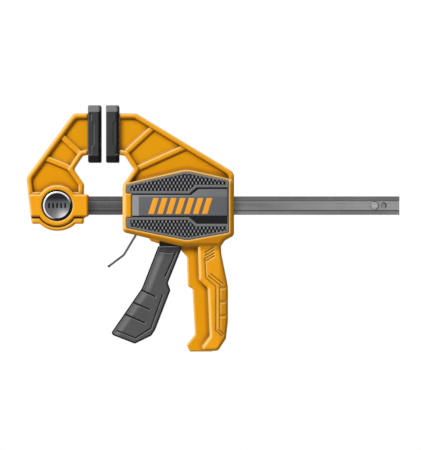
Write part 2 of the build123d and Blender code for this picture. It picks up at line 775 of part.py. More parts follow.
# ------------------------------------------------------------------ trigger
trigger_low = [
    (trigger_front, underside - 0.3, 0),
    (pivot_x + 9.6, underside - 0.3, 0),
    (pivot_x + 9.6, underside - 3.2, 2),
    (pivot_x - 3.9, underside - 37.0, 2),
    (pivot_x - 1.4, underside - 44.5, 2),
    (pivot_x - 16.4, underside - 83.5, 3),
    (pivot_x - 20.2, underside - 89.4, 3),
    (pivot_x - 36.8, underside - 97.6, 3),
    (pivot_x - 61.4, underside - 88.0, 3),
    (pivot_x - 29.8, underside - 42.0, 18),
]
trigger_arm = [
    (pivot_x - 8.0, underside - 20.0, 0),
    (trigger_front + 1.5, underside - 4.0, 0),
    (trigger_front + 0.8, underside + 6.0, 4),
    (pivot_x - eye_radius, bar_z, 6),
    (pivot_x - eye_radius, pivot_z, 0),
    (pivot_x + eye_radius, pivot_z, 0),
    (pivot_x + eye_radius, bar_top + 3.0, 0),
    (pivot_x + eye_radius + 2.0, bar_z + 4.0, 1.5),
    (pivot_x + eye_radius + 2.0, bar_z - 2.0, 1.5),
    (pivot_x + eye_radius - 3.0, bar_low - 4.0, 2),
    (pivot_x + eye_radius - 3.0, bar_low - 9.0, 3),
    (pivot_x + 9.4, underside + 2.0, 1),
    (pivot_x + 9.2, underside - 3.0, 0),
    (pivot_x + 2.0, underside - 20.0, 0),
]
trigger_grooves = [
    ([(pivot_x - 31.0, underside - 43.4), (pivot_x - 16.0, underside - 50.6)], 1.8),
    ([(pivot_x - 40.0, underside - 55.5), (pivot_x - 21.5, underside - 63.4)], 1.8),
    ([(pivot_x - 48.0, underside - 67.4), (pivot_x - 26.5, underside - 76.6)], 1.8),
    ([(pivot_x - 9.0, underside - 48.2), (pivot_x - 21.0, underside - 82.2),
      (pivot_x - 36.0, underside - 91.7), (pivot_x - 55.0, underside - 84.2)], 1.3),
    ([(pivot_x + 4.2, underside - 6.2), (pivot_x - 7.0, underside - 31.0)], 1.5),
    ([(pivot_x - 12.6, underside - 5.4), (pivot_x + 0.4, underside - 6.8)], 1.1),
]


def make_trigger():
    """Channel-shaped trigger: a finger channel that straddles the handle's web, and two arms above it."""
    half = trigger_width / 2
    channel = slab(outline(trigger_low), -half, half)
    sides = channel.faces().sort_by(Axis.Y)
    rims = (sides[0].edges() + sides[-1].edges()).filter_by(lambda e: e.center().Z < underside - 0.5)
    channel = fillet(rims, trigger_round)
    skin_margins = [0, -1, -1, -1, -1] + [trigger_skin] * 5
    hollow = outline([(x, z, 0) for x, z, _ in inset(trigger_low, skin_margins)])
    channel -= slab(hollow, -trigger_slot / 2, trigger_slot / 2)
    for path, width in trigger_grooves:
        channel -= both_sides(ribbon(path, width), half - groove_depth, half + 1)
    eye = Plane.XZ * Pos(pivot_x, pivot_z) * Circle(eye_radius)
    trigger = channel + both_sides(outline(trigger_arm) + eye, cheek_in, cheek_out)
    return trigger - rod(pivot_x, pivot_z, pivot_radius + pin_gap, -cheek_out - 1, cheek_out + 1)


# ------------------------------------------------------------------ drive and brake
def plate_low_x(number):
    """Front face of a drive plate, counted from 0."""
    return plate_x + number * (plate_thickness + 0.1)


def make_drive_plate(number):
    """Steel plate with a window for the bar. The trigger's arms push it along."""
    x = plate_low_x(number)
    tall = bar_height / 2 + plate_over
    plate = block(x, x + plate_thickness, -plate_width / 2, plate_width / 2, bar_z - tall, bar_z + tall)
    plate = fillet(plate.edges().filter_by(Axis.X), 1.5)
    gap = slide_gap
    return plate - block(x - 1, x + plate_thickness + 1, -bar_width / 2 - gap, bar_width / 2 + gap,
                         bar_low - gap, bar_top + gap)


def make_drive_spring():
    """Coil round the bar that returns the drive plates and the trigger."""
    start = plate_low_x(plate_count - 1) + plate_thickness + 0.1
    length = cavity_back - 0.1 - start
    return coil((start, 0, bar_z), (1, 0, 0), length, drive_coil_radius, drive_wire, drive_turns)


def brake_path():
    """Middle line of the brake lever, from its fulcrum end to its finger tip."""
    lean = math.radians(brake_lean)
    x, z = brake_x + brake_head * math.sin(lean), brake_z + brake_head * math.cos(lean)
    points = [(x, z)]
    runs = [(brake_head + brake_drop, brake_lean), (brake_tail, brake_tail_lean), (brake_tip, brake_tip_lean)]
    for length, lean in runs:
        x -= length * math.sin(math.radians(lean))
        z -= length * math.cos(math.radians(lean))
        points.append((x, z))
    return points


def make_brake_lever():
    """Steel lever that jams on the bar. Its bent tail with a rolled tip is the quick release."""
    path = brake_path()
    half = brake_width / 2
    lever = slab(ribbon(path, brake_thickness, brake_bend), -half, half)
    lever += rod(*path[-1], brake_roll, -half, half)
    window = bar_height / 2 + 0.6
    gap = bar_width / 2 + slide_gap
    return lever - block(brake_x - 12, brake_x + 12, -gap, gap, bar_z - window, bar_z + window)


def make_brake_spring():
    """Pushes the brake lever away from the divider, into its locked lean."""
    z = (cavity_low + bar_low) / 2
    lean_x = brake_x - (brake_z - z) * math.tan(math.radians(brake_lean))
    start = lean_x + brake_thickness / 2 + 0.5
    length = divider_x - 0.1 - start
    return coil((start, 0, z), (1, 0, 0), length, brake_coil_radius, brake_wire, brake_turns)


# ------------------------------------------------------------------ all pieces
pieces = {
    "bar": make_bar(),
    "bar_stop_rivet": make_bar_stop(),
    "fixed_jaw": make_fixed_jaw(),
    "fixed_jaw_pad": make_pad(seat_x, 1),
    "jaw_rear_cap": make_jaw_rear_cap(),
    "button_spring": make_button_spring(),
    "push_button": make_push_button(),
    "button_yoke": make_button_yoke(),
    "lock_pin": make_lock_pin(),
    "head_housing": make_housing(),
    "moving_jaw_pad": make_pad(head_seat_x, -1),
    "front_cover": make_cover(-1),
    "rear_cover": make_cover(1),
    "front_badge_plate": make_badge_plate(-1),
    "rear_badge_plate": make_badge_plate(1),
    "trigger_pivot_pin": make_pivot_pin(),
    "trigger": make_trigger(),
    "drive_spring": make_drive_spring(),
    "brake_lever": make_brake_lever(),
    "brake_spring": make_brake_spring(),
}
for number in range(plate_count):
    pieces[f"drive_plate_{number + 1}"] = make_drive_plate(number)

os.makedirs("parts", exist_ok=True)
for name, piece in pieces.items():
    piece.label = name
    export_step(piece, f"parts/{name}.step")
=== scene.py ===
import json
import math

import bmesh
import bpy
import numpy as np
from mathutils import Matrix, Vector


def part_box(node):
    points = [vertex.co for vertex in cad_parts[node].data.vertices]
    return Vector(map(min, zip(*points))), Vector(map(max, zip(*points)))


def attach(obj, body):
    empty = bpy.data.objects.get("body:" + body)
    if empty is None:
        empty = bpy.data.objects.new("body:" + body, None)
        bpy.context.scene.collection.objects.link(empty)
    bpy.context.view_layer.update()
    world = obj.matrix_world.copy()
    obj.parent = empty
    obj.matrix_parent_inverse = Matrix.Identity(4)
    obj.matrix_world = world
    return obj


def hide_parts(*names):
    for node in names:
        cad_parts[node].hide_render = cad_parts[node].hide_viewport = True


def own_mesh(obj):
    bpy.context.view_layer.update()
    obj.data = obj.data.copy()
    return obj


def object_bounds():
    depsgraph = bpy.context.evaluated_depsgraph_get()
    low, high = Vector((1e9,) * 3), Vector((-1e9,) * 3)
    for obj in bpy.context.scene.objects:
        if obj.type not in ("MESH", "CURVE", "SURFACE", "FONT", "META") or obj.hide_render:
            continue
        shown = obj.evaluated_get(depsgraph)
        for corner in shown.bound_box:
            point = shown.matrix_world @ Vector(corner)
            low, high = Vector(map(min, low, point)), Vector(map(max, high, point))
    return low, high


# Quick release bar clamp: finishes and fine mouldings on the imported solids. Lengths are metres in
# the part's own frame: +X along the bar, +Z from the bar up to the pads, the front side at -Y.

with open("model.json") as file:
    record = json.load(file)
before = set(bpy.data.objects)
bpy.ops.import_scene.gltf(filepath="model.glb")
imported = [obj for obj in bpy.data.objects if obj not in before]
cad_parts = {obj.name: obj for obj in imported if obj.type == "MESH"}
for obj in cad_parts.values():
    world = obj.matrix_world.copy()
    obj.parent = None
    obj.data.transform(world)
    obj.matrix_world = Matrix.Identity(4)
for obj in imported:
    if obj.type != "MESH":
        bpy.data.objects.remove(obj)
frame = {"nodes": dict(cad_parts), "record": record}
nodes = frame["nodes"]
solid_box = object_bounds()

MM = 0.001

# ------------------------------------------------------------------ places on the clamp
# Read from the solids' boxes, and typed where no box ends there.
box_underside = -112.0 * MM  # lowest edge of the mechanism box, where the handle and trigger leave it
pocket_foot = -40.0 * MM  # the height where the head's back band begins to deepen
grip_panel = 118.0 * MM  # where the grip's finger panels begin
hem_slope = 0.20  # rise of the covers' lower edges away from their lowest point
bar_low, bar_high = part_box("bar")
bar_z = (bar_low.z + bar_high.z) / 2
cover_low, cover_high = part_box("front_cover")
badge_low, badge_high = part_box("front_badge_plate")
button_low, button_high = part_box("push_button")
button_x = (button_low.x + button_high.x) / 2
fixed_pad_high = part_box("fixed_jaw_pad")[1]
moving_pad_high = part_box("moving_jaw_pad")[1]
trigger_low, trigger_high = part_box("trigger")
trigger_half = trigger_high.y
low_z = solid_box[0].z
rivet_low, rivet_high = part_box("bar_stop_rivet")
rivet_x = (rivet_low.x + rivet_high.x) / 2
hole_x = bar_high.x - 16.0 * MM  # the blind lock hole at the free end

# ------------------------------------------------------------------ sizes of the fine mouldings
cover_gap = 0.4 * MM
cover_left = cover_low.x - cover_gap
cover_right = cover_high.x + cover_gap
cover_face = abs(cover_low.y)
peak_x = cover_left + 60.5 * MM
grille_border = 2.4 * MM
grille_lead = 4.2 * MM
grille_sink = 1.2 * MM
grille_height = 1.0 * MM
grille_pitch_x = 3.75 * MM
grille_pitch_z = 3.2 * MM
grille_step = 0.27 * MM
step_start = cover_left + 62.7 * MM  # where the panels narrow towards the back
step_run = 7.6 * MM
outer_slope = 1.03  # a border's height along the sloped outer edges, against its width
grille_rows = 66
grille_rim = 0.55  # share of the crests that is left along a sheet's own edges
# the panels' outer edges at their front, peak and back, and their inner edges before and behind the
# step, all as distances from the bar's centreline
upper_panel = (np.array([21.0, 34.3, 25.6]) * MM, 12.0 * MM, 18.2 * MM)
lower_panel = (np.array([22.4, 34.7, 27.0]) * MM, 11.9 * MM, 18.4 * MM)

pocket_floor = 8.0 * MM  # from the middle plane to the floors of the jaws' pockets
button_bore = 15.6 * MM
dish_edge = (12.3 * MM, 12.8 * MM)  # radii over which the button's dished face turns to its rim
rim_edge = (13.9 * MM, 14.25 * MM)  # and the rim to its outer edge
turned_pitch = 0.45 * MM  # of the rings turned in the face
grip_bar_spacing = 2.0 * MM  # half the pitch of the face's grip bars
grip_bar_side = (1.05 * MM, 1.2 * MM)
grip_bar_end = (2.4 * MM, 2.6 * MM)
grip_bar_row = (9.9 * MM, 10.1 * MM)  # half the length of their row
pad_band = 22.0 * MM  # sloped bands of the pads, above and below their centre
pad_strip = 2.4 * MM
bar_groove = 5.0 * MM  # half height of the bar's channels
bar_bright_start = 20 * MM
bar_bright_end = 140 * MM
bar_brightest = 290 * MM  # the free end, where the web is brightest
rivet_ring = 3.9 * MM
hole_ring = 2.9 * MM

# the painted highlight ridge down the trigger: a bend, and for the runs above and below it the direction
# across the run, and the heights from the bend over which it fades in
ridge_bend = (trigger_low.x + 36.1 * MM, trigger_low.z + 54.4 * MM)
ridge_lines = [((0.932, -0.362), -1.5 * MM, 1.5 * MM), ((0.824, -0.566), 1.5 * MM, -1.5 * MM)]

weld = 0.001 * MM  # points nearer than this are one
crease_angle = 35.0  # degrees between two faces, above which their edge is a crease
grille_crease_angle = 60.0
plate_seat = 0.1 * MM  # how far plates and grilles reach into what carries them

badge_face = abs(badge_low.y)
band_left = 6.5 * MM  # light strip left of the dark band
band_top = 9.1 * MM  # above the bar's centreline
band_lift = 0.35 * MM
band_margin = 0.1 * MM  # from the badge plate's back and lower edges
band_corner = 0.6 * MM
band_rim = 0.2 * MM
stripe_count = 7
stripe_width = 5.6 * MM
stripe_pitch = 8.9 * MM
stripe_slant = 5.0 * MM
stripe_half_height = 8.0 * MM
stripe_lift = 0.3 * MM
stripe_corner = 0.5 * MM
stripe_rim = 0.15 * MM
first_stripe = band_left + 12.0 * MM


# ------------------------------------------------------------------ node helpers
def add(tree, kind, inputs=None, **settings):
    """Adds a shader node. Each input is a constant, or another node's output socket to link."""
    made = tree.nodes.new("ShaderNode" + kind)
    for key, value in settings.items():
        setattr(made, key, value)
    for key, value in (inputs or {}).items():
        if isinstance(value, bpy.types.NodeSocket):
            tree.links.new(value, made.inputs[key])
        else:
            made.inputs[key].default_value = value
    return made


def maths(tree, operation, first, second=0.0, third=0.0):
    """The output of one Math node. Only MULTIPLY_ADD reads a third value."""
    inputs = {0: first, 1: second}
    if operation == "MULTIPLY_ADD":
        inputs[2] = third
    return add(tree, "Math", inputs, operation=operation).outputs[0]


def ramp(tree, value, low, high, start=0.0, end=1.0, smooth=True):
    """value between low and high, carried over to start and end."""
    kind = "SMOOTHSTEP" if smooth else "LINEAR"
    inputs = {"Value": value, "From Min": low, "From Max": high, "To Min": start, "To Max": end}
    return add(tree, "MapRange", inputs, interpolation_type=kind).outputs["Result"]


def fall(tree, value, low, high):
    """1 up to low, carried down to 0 at high."""
    return ramp(tree, value, low, high, 1.0, 0.0)


def blend(tree, share, first, second):
    """Colour first where share is 0 and second where it is 1."""
    mix = tree.nodes.new("ShaderNodeMix")
    mix.data_type = "RGBA"
    for socket, value in ((mix.inputs[0], share), (mix.inputs[6], first), (mix.inputs[7], second)):
        if isinstance(value, bpy.types.NodeSocket):
            tree.links.new(value, socket)
        elif isinstance(value, (int, float)):
            socket.default_value = value
        else:
            socket.default_value = (*value, 1.0)
    return mix.outputs[2]


def lay(tree, base, mask, strength, colour):
    """Base with a colour laid over it by a mask times a strength."""
    return blend(tree, maths(tree, "MULTIPLY", mask, strength), base, colour)


def blend_normals(tree, share, first, second):
    """Normal first where share is 0 and second where it is 1, at unit length."""
    mix = tree.nodes.new("ShaderNodeMix")
    mix.data_type = "VECTOR"
    for socket, value in ((mix.inputs[0], share), (mix.inputs[4], first), (mix.inputs[5], second)):
        tree.links.new(value, socket)
    return add(tree, "VectorMath", {0: mix.outputs[1]}, operation="NORMALIZE").outputs["Vector"]


def object_point(tree):
    """The surface point in the part's frame, as a vector and as its x, y and z."""
    point = add(tree, "TexCoord").outputs["Object"]
    split = add(tree, "SeparateXYZ", {0: point})
    return point, split.outputs[0], split.outputs[1], split.outputs[2]


def side_depth(tree):
    """Distance from the clamp's middle plane."""
    return maths(tree, "ABSOLUTE", object_point(tree)[2])


def faces_sideways(tree, low=0.75, high=0.95):
    """1 on faces that look to the front or the rear, 0 on the others."""
    normal = add(tree, "SeparateXYZ", {0: add(tree, "NewGeometry").outputs["Normal"]})
    return ramp(tree, maths(tree, "ABSOLUTE", normal.outputs[1]), low, high)


def line_mask(tree, value, middle, half_width, soft):
    """1 within half_width of middle, falling to 0 over the soft distance beyond it."""
    away = maths(tree, "ABSOLUTE", maths(tree, "SUBTRACT", value, middle))
    return fall(tree, away, half_width, half_width + soft)


def distance(tree, across, up):
    """The square root of across squared plus up squared."""
    squares = maths(tree, "ADD", maths(tree, "MULTIPLY", across, across), maths(tree, "MULTIPLY", up, up))
    return maths(tree, "SQRT", squares)


def button_radius(tree):
    """Distance from the push button's axis, with the distances along x and z that it comes from."""
    _, x, _, z = object_point(tree)
    across = maths(tree, "SUBTRACT", x, button_x)
    up = maths(tree, "SUBTRACT", z, bar_z)
    return distance(tree, across, up), across, up


def new_group(name, inputs, outputs):
    """An empty shader group whose sockets are floats, but for a Normal. Returns the tree, its input node
    and its output node."""
    tree = bpy.data.node_groups.new(name, "ShaderNodeTree")
    for label, value in inputs:
        socket = tree.interface.new_socket(label, in_out="INPUT", socket_type="NodeSocketFloat")
        socket.default_value = value
    for label in outputs:
        kind = "NodeSocketVector" if label == "Normal" else "NodeSocketFloat"
        tree.interface.new_socket(label, in_out="OUTPUT", socket_type=kind)
    return tree, tree.nodes.new("NodeGroupInput"), tree.nodes.new("NodeGroupOutput")


def use(tree, group, **values):
    """Places a group in a material with its own values. Underscores stand for spaces."""
    made = tree.nodes.new("ShaderNodeGroup")
    made.node_tree = group
    for key, value in values.items():
        made.inputs[key.replace("_", " ").capitalize()].default_value = value
    return made.outputs


# ------------------------------------------------------------------ shared effects
def make_grain_group():
    """Fine spark-eroded mould texture, and a broad mottle of the colour."""
    tree, given, out = new_group("mould_grain", [("Grain scale", 1900.0), ("Mottle scale", 45.0)],
                                 ["Height", "Mottle"])
    point = object_point(tree)[0]
    fine = add(tree, "TexNoise", {"Vector": point, "Scale": given.outputs[0], "Detail": 3.0,
                                  "Roughness": 0.6})
    broad = add(tree, "TexNoise", {"Vector": point, "Scale": given.outputs[1], "Detail": 4.0})
    tree.links.new(fine.outputs["Fac"], out.inputs["Height"])
    tree.links.new(ramp(tree, broad.outputs["Fac"], 0.3, 0.7), out.inputs["Mottle"])
    return tree


def make_wear_group():
    """Rubbed edges: where the normal turns away from its average within a radius, broken up by noise."""
    tree, given, out = new_group("edge_wear", [("Radius", 0.0009), ("Low", 0.015), ("High", 0.14)], ["Mask"])
    point = object_point(tree)[0]
    soft = add(tree, "Bevel", {"Radius": given.outputs[0]}, samples=6).outputs[0]
    sharp = add(tree, "NewGeometry").outputs["Normal"]
    agree = add(tree, "VectorMath", {0: soft, 1: sharp}, operation="DOT_PRODUCT").outputs["Value"]
    turned = maths(tree, "SUBTRACT", 1.0, agree)
    edge = add(tree, "MapRange", {"Value": turned, "From Min": given.outputs[1],
                                  "From Max": given.outputs[2]})
    noise = add(tree, "TexNoise", {"Vector": point, "Scale": 260.0, "Detail": 5.0, "Roughness": 0.65})
    broken = ramp(tree, noise.outputs["Fac"], 0.38, 0.62, 0.35, 1.0)
    tree.links.new(maths(tree, "MULTIPLY", edge.outputs["Result"], broken), out.inputs["Mask"])
    return tree


def make_edge_tone_group():
    """Edges rounded over a radius, as a normal. Upper and Lower mark the edges where that normal leans
    towards the pads' end or away from it: masks for a painted highlight and a painted shade."""
    tree, given, out = new_group("edge_tone", [("Radius", 0.001)], ["Normal", "Upper", "Lower"])
    soft = add(tree, "Bevel", {"Radius": given.outputs[0]}, samples=8).outputs[0]
    lean = add(tree, "VectorMath", {0: soft, 1: (-0.6, 0.0, 0.8)}, operation="DOT_PRODUCT").outputs["Value"]
    sideways = faces_sideways(tree, 0.35, 0.6)
    tree.links.new(soft, out.inputs["Normal"])
    tree.links.new(maths(tree, "MULTIPLY", ramp(tree, lean, 0.02, 0.28), sideways), out.inputs["Upper"])
    tree.links.new(maths(tree, "MULTIPLY", ramp(tree, lean, -0.05, -0.45), sideways), out.inputs["Lower"])
    return tree


def make_handling_group():
    """Smudges and faint hairline scratches from handling, as a change of roughness."""
    tree, given, out = new_group("handling", [("Smudge scale", 60.0), ("Scratch scale", 140.0)],
                                 ["Smudge", "Scratch"])
    point = object_point(tree)[0]
    smudge = add(tree, "TexNoise", {"Vector": point, "Scale": given.outputs[0], "Detail": 6.0,
                                    "Roughness": 0.7, "Distortion": 0.6})
    turned = add(tree, "Mapping", {"Vector": point, "Rotation": (0.2, 0.7, 0.1), "Scale": (1.0, 1.0, 26.0)})
    lines = add(tree, "TexNoise", {"Vector": turned.outputs[0], "Scale": given.outputs[1], "Detail": 2.0})
    thin = ramp(tree, lines.outputs["Fac"], 0.66, 0.72)
    tree.links.new(ramp(tree, smudge.outputs["Fac"], 0.35, 0.7), out.inputs["Smudge"])
    tree.links.new(thin, out.inputs["Scratch"])
    return tree


def make_drawn_group():
    """Lines left by drawing steel through a die, along X, and slow changes of tone along them."""
    tree, given, out = new_group("drawn_lines", [("Line scale", 1.0)], ["Height", "Tone"])
    point = object_point(tree)[0]
    stretched = add(tree, "Mapping", {"Vector": point, "Scale": (9.0, 1500.0, 1500.0)}).outputs[0]
    scaled = add(tree, "VectorMath", {0: stretched, 3: given.outputs[0]}, operation="SCALE").outputs[0]
    lines = add(tree, "TexNoise", {"Vector": scaled, "Scale": 1.0, "Detail": 5.0, "Roughness": 0.7})
    long = add(tree, "Mapping", {"Vector": point, "Scale": (12.0, 120.0, 260.0)}).outputs[0]
    tone = add(tree, "TexNoise", {"Vector": long, "Scale": 1.0, "Detail": 3.0})
    tree.links.new(lines.outputs["Fac"], out.inputs["Height"])
    tree.links.new(ramp(tree, tone.outputs["Fac"], 0.3, 0.7), out.inputs["Tone"])
    return tree


grain_group = make_grain_group()
wear_group = make_wear_group()
tone_group = make_edge_tone_group()
handling_group = make_handling_group()
drawn_group = make_drawn_group()


# ------------------------------------------------------------------ materials
def start_material(name, **shader_values):
    """A material with its Principled shader. Keyword underscores stand for spaces in socket names."""
    material = bpy.data.materials.new(name)
    material.use_nodes = True
    tree = material.node_tree
    shader = tree.nodes["Principled BSDF"]
    for key, value in shader_values.items():
        shader.inputs[key.replace("_", " ")].default_value = value
    return material, tree, shader


def scaled(colour, factor):
    """A colour made lighter or darker, at most white."""
    return tuple(min(1.0, c * factor) for c in colour)


def bump(tree, shader, height, distance, normal=None):
    """Relief from a height, on the surface's own normal or on a given one."""
    inputs = {"Height": height, "Distance": distance}
    if normal:
        inputs["Normal"] = normal
    tree.links.new(add(tree, "Bump", inputs).outputs[0], shader.inputs["Normal"])


def corner_shade(tree, reach):
    """How far a point is shut in by its own piece: 1 in corners and grooves, 0 on open faces. It stays
    in the material, not in a group."""
    open_share = add(tree, "AmbientOcclusion", {"Distance": reach}, samples=12, only_local=True)
    return ramp(tree, open_share.outputs["AO"], 0.42, 0.92, 1.0, 0.0, smooth=False)


def moulded_plastic(name, colour, wear_and_highlight, shaded, rough=0.42, grain=0.02, grain_scale=1900.0, wear=0.35,
                    wear_radius=0.9, edge_round=0.5, edge_highlight=None, edge_shade=None, tone=0.4, reach=0.006,
                    shade=0.85, specular=0.2, coat=0.0, tint=None, rim=None):
    """Injection moulded plastic: mould grain, mottle, rubbed edges, painted shade in corners and smudges.
    Edges that lean towards the pads' end get a painted highlight and edges that lean away a painted shade,
    by the share in tone. The tint goes under the wear and the rim over it."""
    material, tree, shader = start_material(name, Specular_IOR_Level=specular, Coat_Weight=coat,
                                            Coat_Roughness=0.24)
    grains = use(tree, grain_group, grain_scale=grain_scale)
    edges = use(tree, wear_group, radius=wear_radius * MM)["Mask"]
    rounded = use(tree, tone_group, radius=edge_round * MM)
    corners = corner_shade(tree, reach)
    marks = use(tree, handling_group)
    base = blend(tree, grains["Mottle"], scaled(colour, 0.96), scaled(colour, 1.04))
    if tint:
        base = tint(tree, base)
    # painted shade in corners, then painted shade and painted highlight on the edges by how they lean
    base = lay(tree, base, corners, shade, shaded)
    base = lay(tree, base, rounded["Lower"], tone, edge_shade or shaded)
    proud = maths(tree, "SUBTRACT", 1.0, corners)
    upper = maths(tree, "MULTIPLY", rounded["Upper"], proud)
    base = lay(tree, base, upper, tone, edge_highlight or wear_and_highlight)
    rubbed = maths(tree, "MULTIPLY", edges, proud)
    base = lay(tree, base, rubbed, wear, wear_and_highlight)
    base = lay(tree, base, marks["Scratch"], 0.10, wear_and_highlight)
    if rim:
        base = rim(tree, base)
    tree.links.new(base, shader.inputs["Base Color"])
    uneven = maths(tree, "MULTIPLY_ADD", marks["Smudge"], 0.10, rough - 0.04)
    tree.links.new(maths(tree, "SUBTRACT", uneven, maths(tree, "MULTIPLY", edges, 0.08)),
                   shader.inputs["Roughness"])
    plain = add(tree, "NewGeometry").outputs["Normal"]
    normal = blend_normals(tree, ramp(tree, corners, 0.05, 0.45), rounded["Normal"], plain)
    bump(tree, shader, grains["Height"], grain * MM, normal)
    return material


def steel(name, dark, light, rough=0.34, line_scale=1.0, wear=0.3, tint=None):
    """Drawn or rolled steel: lines along X, slow changes of tone, bright rubbed edges and smudges."""
    material, tree, shader = start_material(name, Metallic=1.0)
    drawn = use(tree, drawn_group, line_scale=line_scale)
    edges = use(tree, wear_group, radius=0.5 * MM)["Mask"]
    marks = use(tree, handling_group, scratch_scale=220.0)
    line_tone = ramp(tree, drawn["Height"], 0.35, 0.65)
    tone = maths(tree, "MULTIPLY_ADD", line_tone, 0.45, maths(tree, "MULTIPLY", drawn["Tone"], 0.55))
    base = blend(tree, tone, dark, light)
    if tint:
        base = tint(tree, base)
    base = lay(tree, base, edges, wear, scaled(light, 1.7))
    tree.links.new(base, shader.inputs["Base Color"])
    uneven = maths(tree, "MULTIPLY_ADD", marks["Smudge"], 0.16, rough - 0.06)
    tree.links.new(uneven, shader.inputs["Roughness"])
    bump(tree, shader, drawn["Height"], 0.02 * MM)
    return material


def make_amber():
    """Amber nylon of the jaws, the box and the handle. The pocket floors and the handle's web are a
    deeper tone, painted shade in the recesses, and the box's lower and back bands and the grip's back a
    deeper one still, painted shade on faces turned from the light. The wall round the push button is
    painted shade, from brown to black."""
    floor_shade_tone = (0.775, 0.325, 0.003)
    back_shade_tone = (0.540, 0.200, 0.003)
    bore_shade_brown = (0.150, 0.062, 0.006)
    bore_shadow_black = (0.010, 0.008, 0.006)

    def depths(tree, base):
        """The deeper tones of painted shade, by distance from the middle plane and by place."""
        # painted shade on the pocket floors and the handle's web
        low = fall(tree, side_depth(tree), pocket_floor + 0.4 * MM, pocket_floor + 1.6 * MM)
        base = lay(tree, base, low, faces_sideways(tree), floor_shade_tone)
        _, x, _, z = object_point(tree)
        # painted shade on the grip's back and on the box's lower and back bands
        handle = fall(tree, z, box_underside - 6 * MM, box_underside - 2 * MM)
        behind = ramp(tree, x, grip_panel - 1.5 * MM, grip_panel + 4 * MM)
        grip_back = maths(tree, "MULTIPLY", behind, handle)
        away = maths(tree, "ABSOLUTE", maths(tree, "SUBTRACT", x, peak_x))
        hem = maths(tree, "MULTIPLY_ADD", away, hem_slope, cover_low.z)
        under = ramp(tree, maths(tree, "SUBTRACT", z, hem), -0.8 * MM, -3.4 * MM)
        box_back = ramp(tree, x, cover_right - 0.5 * MM, cover_right + 2.5 * MM)
        box_side = maths(tree, "MULTIPLY", maths(tree, "MAXIMUM", under, box_back),
                         maths(tree, "SUBTRACT", 1.0, handle))
        lower = maths(tree, "MULTIPLY", box_side, ramp(tree, z, pocket_foot, pocket_foot - 4 * MM))
        deeper = maths(tree, "MAXIMUM", maths(tree, "MULTIPLY", grip_back, 0.75),
                       maths(tree, "MULTIPLY", lower, 0.95))
        head_side = ramp(tree, x, moving_pad_high.x, moving_pad_high.x + 1 * MM)
        base = lay(tree, base, deeper, head_side, back_shade_tone)
        # painted shade on the wall round the push button, black on the side away from the light
        radius, across, up = button_radius(tree)
        bore = fall(tree, radius, button_bore - 0.05 * MM, button_bore + 0.15 * MM)
        lean = maths(tree, "DIVIDE", maths(tree, "SUBTRACT", across, up), radius)
        wall = blend(tree, ramp(tree, lean, -0.9, 0.1), bore_shade_brown, bore_shadow_black)
        return blend(tree, bore, base, wall)

    return moulded_plastic("amber_nylon", (0.845, 0.352, 0.009), (1.0, 0.58, 0.14), (0.20, 0.076, 0.001),
                           rough=0.40, grain=0.018, wear=0.5, wear_radius=0.8, edge_round=2.8,
                           edge_highlight=(1.0, 0.64, 0.19), edge_shade=(0.30, 0.130, 0.002), tone=0.88,
                           reach=6.5 * MM, shade=1.0, specular=0.0, coat=0.15, tint=depths)


def make_cover_grey():
    """Grey covers. The channel and the sunk panels' floors, which lie deeper, are painted near black as
    shade.
    """
    def deep_shade(tree, base):
        """Painted shade: near black below the covers' face."""
        share = fall(tree, side_depth(tree), cover_face - 0.95 * MM, cover_face - 0.55 * MM)
        return blend(tree, share, base, (0.007, 0.007, 0.008))

    return moulded_plastic("cover_grey", (0.165, 0.166, 0.171), (0.40, 0.40, 0.41), (0.02, 0.02, 0.022),
                           rough=0.46, grain=0.015, wear=0.5, wear_radius=0.6, edge_round=0.6, reach=1.6 * MM,
                           specular=0.12, tint=deep_shade)


def make_grille_grey():
    """Grey grille painted by height: black in its pits as painted shade, lighter on its crests as painted
    highlight. The mesh carries its own height as an attribute.
    """
    material, tree, shader = start_material("grille_grey", Roughness=0.5, Specular_IOR_Level=0.12)
    height = add(tree, "Attribute", attribute_name="crest").outputs["Fac"]
    # painted shade in the pits, painted highlight on the crests
    base = blend(tree, ramp(tree, height, 0.25, 0.65), (0.003, 0.003, 0.003), (0.060, 0.061, 0.064))
    base = blend(tree, ramp(tree, height, 0.60, 0.98), base, (0.24, 0.242, 0.25))
    tree.links.new(base, shader.inputs["Base Color"])
    grains = use(tree, grain_group, grain_scale=2400.0)
    bump(tree, shader, grains["Height"], 0.01 * MM)
    return material


def make_badge_grey():
    """Light grey badge plate that darkens towards the back of the head."""
    def darker_back(tree, base):
        """A slow change of tone along the plate."""
        x = object_point(tree)[1]
        share = ramp(tree, x, badge_low.x + 8.0 * MM, badge_high.x - 10.0 * MM)
        return blend(tree, share, base, (0.160, 0.162, 0.168))

    return moulded_plastic("badge_light_grey", (0.290, 0.292, 0.300), (0.42, 0.42, 0.43), (0.08, 0.08, 0.085),
                           rough=0.40, grain=0.008, wear=0.4, reach=1.5 * MM, tint=darker_back)


